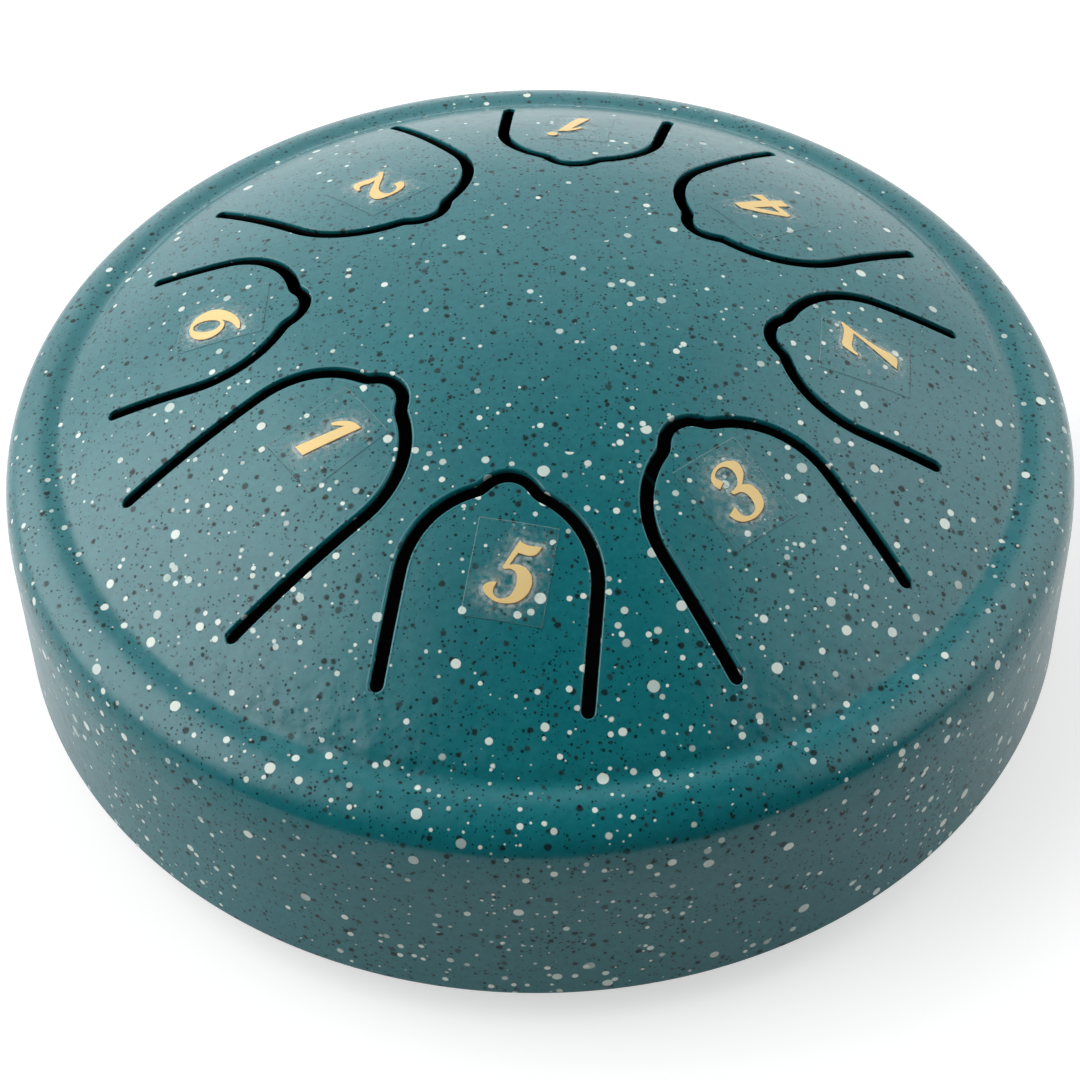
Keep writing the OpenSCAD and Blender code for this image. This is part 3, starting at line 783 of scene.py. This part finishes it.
def cutOut(points, normals, faces, owners, coats, owner):
    # one piece's own points and faces
    chosen = np.flatnonzero(owners == owner)
    flat = np.concatenate([faces[k] for k in chosen])
    used, back = np.unique(flat, return_inverse=True)
    ends = np.cumsum([len(faces[k]) for k in chosen])[:-1]
    return points[used], [part.tolist() for part in np.split(back, ends)], coats[chosen], normals[used]


steel = makeSteel()
points, faces, coats, normals = cutOut(*steel, -1)
top = addMesh("shell_skin", points, faces, [enamelCoat, groundAndShadeCoat], coats, normals)
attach(top, "drum")
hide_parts("top_shell")
for i, row in enumerate(tongueRows):
    points, faces, coats, normals = cutOut(*steel, i)
    piece = addMesh("tongue_skin_" + row[0], points, faces, [enamelCoat, groundAndShadeCoat], coats, normals)
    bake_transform(piece)
    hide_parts("tongue_" + row[0])
print("shell and tongues")


# Stickers and gold numerals

sticker = {
    # how far the film floats over the enamel, its thickness and the pitch of
    # its grid (mm)
    "height": 0.02, "thickness": 0.08, "step": 0.16,
    # edge is the dark teal painted as shade on the film's edges that face away from the light
    "haze": "#C6D6D4", "edge": "#0A3B41", "edgeWidth": 0.13,
    # haze close round the numeral: where it starts to fade and ends (mm), its
    # least cover and what the patches add
    "ring": (0.3, 0.8, 0.12, 0.56),
    # the same further out, only in patches
    "wide": (0.7, 2.6, 0.22),
    # air pockets: spots as for the enamel, and their cover
    "bubbles": (1.5, 0.16, 0.34, 0.08, 0.26), "bubbleCover": 0.34,
    # cover of the edges painted lit, what those painted shaded add, and of the bare film
    "edgeCover": (0.26, 0.24), "filmCover": 0.012,
    # the stickers' edges are painted lit where they face the back and a little the
    # left, and painted shaded where they face away
    "lightWay": (-0.3, 0.95),
    "gold": "#F0D596", "goldDeep": "#E0C07C", "foilEdgeShadow": "#5A3714",
    # how far the foil's dark edge and its painted shadow show in plan, and how
    # much lower they lie (mm)
    "foilShift": (0.09, -0.1), "foilDrop": 0.03,
    # pitch of the points along a numeral's outline, and its longest edge (mm)
    "outlineStep": 0.1, "longestEdge": 8.0,
}


def cornersOf(node):
    # corners of a CAD node in millimetres
    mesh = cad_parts[node].data
    flat = np.empty(len(mesh.vertices) * 3)
    mesh.vertices.foreach_get("co", flat)
    return flat.reshape(-1, 3) / mm


def edgeSamples(node):
    # points along all edges of a node's mesh, seen in plan
    step = sticker["outlineStep"]
    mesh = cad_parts[node].data
    pairs = np.empty(len(mesh.edges) * 2, dtype=np.int64)
    mesh.edges.foreach_get("vertices", pairs)
    ends = cornersOf(node)[pairs.reshape(-1, 2)][:, :, :2]
    share = np.linspace(0, 1, int(sticker["longestEdge"] / step))[:, None, None]
    points = (ends[:, 0] * (1 - share) + ends[:, 1] * share).reshape(-1, 2)
    return np.unique((points / step).round(), axis=0) * step


def makeFilm(row, coat):
    # the CAD film's rectangle as a fine grid that follows the dome
    name = "film_" + row[0]
    plan = cornersOf(name)[:, :2]
    centre = (plan.max(axis=0) + plan.min(axis=0)) / 2
    plan = plan - centre
    far = plan[np.argmax(np.linalg.norm(plan, axis=1))]
    across = np.array([-far[1], far[0]]) / np.linalg.norm(far)
    other = plan[np.argmax(plan @ across)]
    # half sides of the rectangle whose corners are far and other
    halves = np.array([far - other, far + other]) / 2
    lengths = np.linalg.norm(halves, axis=1)
    counts = np.ceil(2 * lengths / sticker["step"]).astype(int) + 1
    a, b = np.meshgrid(np.linspace(-1, 1, counts[0]), np.linspace(-1, 1, counts[1]))
    spread = np.stack([a.ravel(), b.ravel()], axis=1)
    flat = centre + spread @ halves
    count = len(flat)
    top = onDome(flat, sticker["height"] + sticker["thickness"])
    bottom = onDome(flat, sticker["height"])
    grid = np.arange(count).reshape(counts[1], counts[0])
    if np.cross(halves[0], halves[1]) < 0:
        grid = grid[:, ::-1]
    quads = np.stack([grid[:-1, :-1], grid[:-1, 1:], grid[1:, 1:], grid[1:, :-1]], axis=-1).reshape(-1, 4)
    ring = np.concatenate([grid[0, :-1], grid[:-1, -1], grid[-1, :0:-1], grid[:0:-1, 0]])
    sides = np.stack([ring + count, np.roll(ring, -1) + count, np.roll(ring, -1), ring], axis=1)
    faces = quads.tolist() + (quads[:, ::-1] + count).tolist() + sides.tolist()
    piece = addMesh(name + "_clear", np.concatenate([top, bottom]), faces, [coat])

    # what the shader needs at each corner: how far the numeral and the edge
    # are, and whether the nearest edge faces the light, which sets its painted
    # highlight and painted shade
    near = edgeSamples("numeral_" + row[0])
    gap = nearestGap(flat, near)
    margins = np.stack([(1 - spread) * lengths, (1 + spread) * lengths], axis=-1).reshape(count, 4)
    outward = unit(np.stack([halves[0], -halves[0], halves[1], -halves[1]]))
    facing = (outward @ np.array(sticker["lightWay"]))[margins.argmin(axis=1)]
    for title, values in (("numeralGap", gap), ("edgeGap", margins.min(axis=1)), ("edgeLight", facing)):
        layer = piece.data.attributes.new(title, "FLOAT", "POINT")
        layer.data.foreach_set("value", np.tile(values, 2))
    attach(piece, "tongue_" + row[0] + "_body")
    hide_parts(name)


def nearness(add, title, low, high):
    # an attribute turned into 1 below low and 0 above high
    value = add("Attribute", output="Fac", attribute_name=title)
    return add(
        "MapRange", {"Value": value, "From Min": low, "From Max": high, "To Min": 1.0, "To Max": 0.0},
        interpolation_type="SMOOTHSTEP")


def makeClearVinyl():
    # clear sticker film: the enamel shows through it, with a milky ring where
    # it lifts round the numeral, small air pockets and lines along its edges:
    # painted highlight on those that face the light, painted shade on the others
    material, add = newMaterial("clear_vinyl_film")
    place = millimetres(add)
    cloud = add("TexNoise", {"Vector": place, "Scale": 1.3, "Detail": 3.0})
    patchy = add("MapRange", {"Value": cloud, "From Min": 0.38, "From Max": 0.62})
    low, high, least, more = sticker["ring"]
    cover = add("Math", {0: patchy, 1: more, 2: least}, operation="MULTIPLY_ADD")
    ring = add("Math", {0: nearness(add, "numeralGap", low, high), 1: cover}, operation="MULTIPLY")
    low, high, more = sticker["wide"]
    cover = add("Math", {0: patchy, 1: more}, operation="MULTIPLY")
    wide = add("Math", {0: nearness(add, "numeralGap", low, high), 1: cover}, operation="MULTIPLY")
    milk = add("Math", {0: ring, 1: wide}, operation="MAXIMUM")
    # the air pockets are drawn out along one slanting way
    drawn = add("Mapping", {"Vector": place, "Rotation": (0, 0, 0.6), "Scale": (1.0, 0.55, 1.0)})
    bubbles = spots(add, drawn, sticker["bubbles"], 21, enamel["darkThin"])
    bubbles = add("Math", {0: bubbles, 1: sticker["bubbleCover"]}, operation="MULTIPLY")
    milk = add("Math", {0: milk, 1: bubbles}, operation="MAXIMUM")
    # painted highlight and painted shade: edges that face the light get pale haze, the others dark teal
    edge = nearness(add, "edgeGap", 0.3 * sticker["edgeWidth"], sticker["edgeWidth"])
    lit = add("Attribute", output="Fac", attribute_name="edgeLight")
    dark = add(
        "MapRange", {"Value": lit, "From Min": -0.25, "From Max": 0.25, "To Min": 1.0, "To Max": 0.0})
    least, more = sticker["edgeCover"]
    cover = add("Math", {0: dark, 1: more, 2: least}, operation="MULTIPLY_ADD")
    line = add("Math", {0: edge, 1: cover}, operation="MULTIPLY")
    cover = add("Math", {0: milk, 1: line}, operation="MAXIMUM")
    cover = add("Math", {0: cover, 1: sticker["filmCover"]}, operation="ADD")
    # a ray passes the film's top and its underside, so each covers about half
    alpha = add("Math", {0: cover, 1: 0.55}, operation="MULTIPLY")
    share = add("Math", {0: edge, 1: dark}, operation="MULTIPLY")
    haze, deep = linear(sticker["haze"]), linear(sticker["edge"])
    tint = add("Mix", {0: share, colorA: haze, colorB: deep}, mixed, data_type="RGBA")
    surface = add("BsdfPrincipled", {"Base Color": tint, "Roughness": 0.22, "Alpha": alpha})
    add("OutputMaterial", {"Surface": surface})
    return material


def makeGold():
    # gold foil print: warm and satin, brighter where it tilts to the light
    material, add = newMaterial("gold_foil_print")
    place = millimetres(add)
    sweep = add("TexNoise", {"Vector": place, "Scale": 0.16, "Detail": 2.0})
    deep, bright = linear(sticker["goldDeep"]), linear(sticker["gold"])
    color = add("Mix", {0: sweep, colorA: deep, colorB: bright}, mixed, data_type="RGBA")
    grain = add("TexNoise", {"Vector": place, "Scale": 4.0, "Detail": 2.0})
    bump = add("Bump", {"Height": grain, "Strength": 0.12, "Distance": 0.1 * mm})
    surface = add("BsdfPrincipled", {
        "Base Color": color, "Metallic": 0.15, "Roughness": 0.45, "Normal": bump,
    })
    add("OutputMaterial", {"Surface": surface})
    return material


def makeFoilEdgeShadow():
    # cut edge of the foil with its glue and the shadow painted beside it, dark
    # brown with a little gold
    material, add = newMaterial("foil_edge_and_painted_shadow")
    grain = add("TexNoise", {"Vector": millimetres(add), "Scale": 2.0})
    share = add("Math", {0: grain, 1: 0.25}, operation="MULTIPLY")
    dark, deep = linear(sticker["foilEdgeShadow"]), linear(sticker["goldDeep"])
    color = add("Mix", {0: share, colorA: dark, colorB: deep}, mixed, data_type="RGBA")
    surface = add("BsdfPrincipled", {"Base Color": color, "Roughness": 0.5})
    add("OutputMaterial", {"Surface": surface})
    return material


def makeFoilShadow(row, coat):
    # the foil's edge and a painted shadow show to the right and in front of the
    # numeral: a dark copy that slides along the dome and lies a little lower
    name = "numeral_" + row[0]
    out = domeNormal(onDome(cornersOf(name)[:, :2].mean(axis=0)))
    shift = np.array([*sticker["foilShift"], 0.0])
    shift = shift - shift @ out * out - sticker["foilDrop"] * out
    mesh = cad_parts[name].data.copy()
    mesh.transform(Matrix.Translation(Vector(shift) * mm))
    mesh.materials.clear()
    mesh.materials.append(coat)
    piece = bpy.data.objects.new("foil_edge_and_shadow_" + row[0], mesh)
    bpy.context.scene.collection.objects.link(piece)
    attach(piece, "tongue_" + row[0] + "_body")


vinyl, gold, foilEdgeShadow = makeClearVinyl(), makeGold(), makeFoilEdgeShadow()
for row in tongueRows:
    makeFilm(row, vinyl)
    coatNode("numeral_" + row[0], gold)
    makeFoilShadow(row, foilEdgeShadow)
print("stickers and numerals")


# Underside

underside = {
    "rubber": "#131415", "rubberWorn": "#232425",
    "zinc": "#B4B9BD", "zincDull": "#8B9196",
    # foot: radius at its top and bottom, lean of its side (radians), rounds
    # at its bottom, top and recess
    "footTop": 7.0, "footBottom": 6.0, "footHeight": 8.0, "footLean": 0.1,
    "bottomRound": 0.9, "topRound": 0.5, "recessRound": 0.4,
    "recess": 3.5, "recessDepth": 3.5, "screwHole": 1.7,
    "footCircle": 52.0, "firstFoot": 90.0, "footTurns": 72,
    "weldTop": 2.98, "weldLeg": 2.0, "weldInset": 0.02, "weldSteps": 9, "weldSwell": 0.06,
    "weldTurns": 1440,
    # the weld's ripples: pitch, height, then how far and how often they drift
    "ripplePitch": 2.2, "rippleHeight": 0.14, "rippleDrift": (0.8, 7),
    "flangeTop": 9.8,
}


def makeRubber():
    # black moulded rubber, a little worn where it is rough
    material, add = newMaterial("moulded_black_rubber")
    grain = add("TexNoise", {"Vector": millimetres(add), "Scale": 2.2, "Detail": 4.0})
    fresh, worn = linear(underside["rubber"]), linear(underside["rubberWorn"])
    color = add("Mix", {0: grain, colorA: fresh, colorB: worn}, mixed, data_type="RGBA")
    bump = add("Bump", {"Height": grain, "Strength": 0.3, "Distance": 0.1 * mm})
    surface = add("BsdfPrincipled", {"Base Color": color, "Roughness": 0.62, "Normal": bump})
    add("OutputMaterial", {"Surface": surface})
    return material


def makeZinc():
    # bright zinc plate on turned steel, with faint clouds and turning marks
    material, add = newMaterial("bright_zinc_plate")
    place = millimetres(add)
    cloud = add("TexNoise", {"Vector": place, "Scale": 0.9, "Detail": 3.0})
    dull, bright = linear(underside["zincDull"]), linear(underside["zinc"])
    color = add("Mix", {0: cloud, colorA: dull, colorB: bright}, mixed, data_type="RGBA")
    marks = add("TexNoise", {"Vector": place, "Scale": 6.0, "Detail": 2.0})
    bump = add("Bump", {"Height": marks, "Strength": 0.15, "Distance": 0.05 * mm})
    surface = add("BsdfPrincipled", {
        "Base Color": color, "Metallic": 1.0, "Roughness": 0.3, "Normal": bump,
    })
    add("OutputMaterial", {"Surface": surface})
    return material


def turned(profile, turns, push=None):
    # points and faces of a closed profile turned round the axis. push moves
    # its points out along their own direction, by turn and point.
    a = np.arange(turns) * 2 * math.pi / turns
    count = len(profile)
    along = np.roll(profile, -1, axis=0) - np.roll(profile, 1, axis=0)
    ways = unit(np.stack([along[:, 1], -along[:, 0]], axis=1))
    section = np.broadcast_to(profile, (turns, count, 2))
    if push is not None:
        section = section + ways * push(a)[..., None]
    x, y = section[..., 0] * np.cos(a)[:, None], section[..., 0] * np.sin(a)[:, None]
    points = np.stack([x, y, section[..., 1]], axis=-1).reshape(-1, 3)
    grid = np.arange(turns * count).reshape(turns, count)
    ahead, right = np.roll(grid, -1, axis=0), np.roll(grid, -1, axis=1)
    quads = np.stack([grid, ahead, np.roll(ahead, -1, axis=1), right], axis=-1).reshape(-1, 4)
    return points, quads.tolist()


def makeFeet(coat):
    # rubber feet with soft edges, each turned about its own middle
    height, depth = underside["footHeight"], underside["recessDepth"]
    hole, recess = underside["screwHole"], underside["recess"]
    r = underside["recessRound"]
    mouth = bend(np.array([recess + r, r]), r, -math.pi, -math.pi / 2, 5)[0]
    r = underside["bottomRound"]
    bottom = bend(np.array([underside["footBottom"] - r, r]), r, -math.pi / 2, -underside["footLean"], 6)[0]
    r = underside["topRound"]
    top = bend(np.array([underside["footTop"] - r, height - r]), r, 0.0, math.pi / 2, 5)[0]
    profile = np.concatenate([mouth, bottom, top, [[hole, height], [hole, depth], [recess, depth]]])
    points, faces = turned(profile, underside["footTurns"])
    for k, name in enumerate(("foot_back", "foot_left", "foot_right")):
        a = math.radians(underside["firstFoot"] + 120 * k)
        place = underside["footCircle"] * np.array([math.cos(a), math.sin(a), 0])
        piece = addMesh("rubber_" + name, points + place, faces, [coat])
        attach(piece, "drum")
        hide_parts(name)


def makeWeld(coat):
    # weld bead with the ripples that its passes leave
    slope = math.tan(lean)
    top, leg = underside["weldTop"], underside["weldLeg"]
    outside = shell["wallRadius"] + shell["flare"] - slope * top
    bore = outside - shell["sheet"] / math.cos(lean) - underside["weldInset"]
    corner = np.array([bore, top + shell["lift"]])
    first, last = corner + [-leg, 0], corner + [leg * slope, -leg]
    t = np.linspace(0, 1, underside["weldSteps"])[:, None]
    # a face that swells a little between its two toes
    face = first + (last - first) * t - underside["weldSwell"] * leg * np.sin(math.pi * t)
    profile = np.concatenate([face, [corner]])[::-1]
    swell = np.concatenate([np.sin(math.pi * t[:, 0]), [0.0]])[::-1]
    ripples = round(2 * math.pi * bore / underside["ripplePitch"])
    drift, times = underside["rippleDrift"]

    def push(a):
        wave = 0.5 + 0.5 * np.cos(ripples * a + drift * np.sin(times * a))
        return -underside["rippleHeight"] * wave[:, None] * swell

    points, faces = turned(profile, underside["weldTurns"], push)
    piece = addMesh("weld_ripples", points, faces, [coat])
    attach(piece, "drum")
    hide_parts("seam_weld")


rubber, zinc = makeRubber(), makeZinc()
makeFeet(rubber)
makeWeld(enamelCoat)
for name in ("foot_screws", "foot_washers", "foot_nuts"):
    coatNode(name, zinc)
plate = coatNode("base_plate", enamelCoat, groundAndShadeCoat)
# faces that look up into the drum have only the ground coat, near black as
# painted shade
bare = [face.normal.z > 0.1 or face.center.z > underside["flangeTop"] * mm for face in plate.polygons]
plate.polygons.foreach_set("material_index", np.array(bare, dtype=np.int32))
print("underside")
